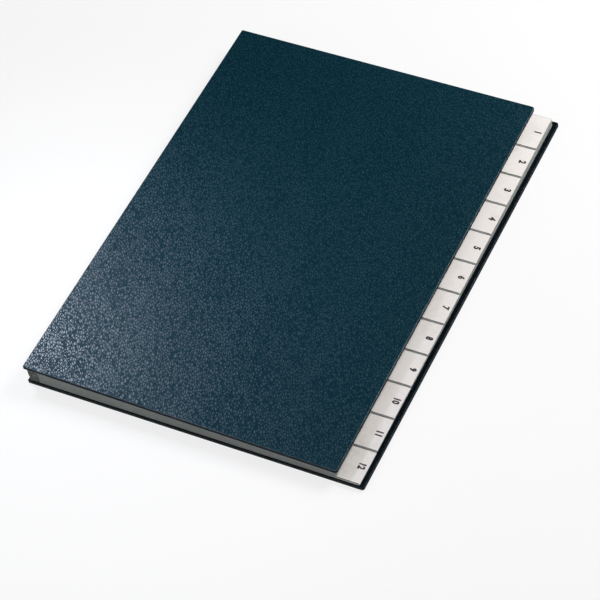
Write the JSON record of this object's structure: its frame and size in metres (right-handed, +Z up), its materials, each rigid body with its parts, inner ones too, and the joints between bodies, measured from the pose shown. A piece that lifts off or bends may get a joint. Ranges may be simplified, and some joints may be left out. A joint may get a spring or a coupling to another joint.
{
  "type": "desk sorter",
  "caption": "Closed desk sorter with hard leatherette covers, step-cut tabbed divider leaves and a pleated cloth spine.",
  "frame": {"origin": "centre of the back cover underside, on the table", "axes": "+X from the spine to the tabs, +Y from the foot to the head, +Z up from the back cover to the front cover"},
  "size_m": [0.2582, 0.34, 0.019],
  "materials": {
    "leatherette": "dark teal leather-grained coated paper, satin",
    "greyboard": "raw grey board",
    "lining": "dark matt lining paper",
    "card": "grey card, matt",
    "label_film": "white laminated film",
    "spine_cloth": "dark bookbinding cloth"
  },
  "bodies": {
    "back_cover": {"back_cover_board": "greyboard", "back_cover_wrap": "leatherette", "back_cover_lining": "lining"},
    "leaf_block": {"spine_bellows": "spine_cloth", "divider_leaf_01": "card", "tab_label_01": "label_film", "divider_leaf_02": "card", "tab_label_02": "label_film", "divider_leaf_03": "card", "tab_label_03": "label_film", "divider_leaf_04": "card", "tab_label_04": "label_film", "divider_leaf_05": "card", "tab_label_05": "label_film", "divider_leaf_06": "card", "tab_label_06": "label_film", "divider_leaf_07": "card", "tab_label_07": "label_film", "divider_leaf_08": "card", "tab_label_08": "label_film", "divider_leaf_09": "card", "tab_label_09": "label_film", "divider_leaf_10": "card", "tab_label_10": "label_film", "divider_leaf_11": "card", "tab_label_11": "label_film", "divider_leaf_12": "card", "tab_label_12": "label_film"},
    "front_cover": {"front_cover_board": "greyboard", "front_cover_wrap": "leatherette", "front_cover_lining": "lining"}
  },
  "joints": [
    {"name": "back_hinge", "type": "hinge", "parent": "back_cover", "child": "leaf_block", "pos_m": [-0.1291, 0, 0.003], "axis": [0, -1, 0], "range_deg": [0, 180]},
    {"name": "front_hinge", "type": "hinge", "parent": "leaf_block", "child": "front_cover", "pos_m": [-0.1291, 0, 0.01606], "axis": [0, -1, 0], "range_deg": [0, 180]}
  ]
}
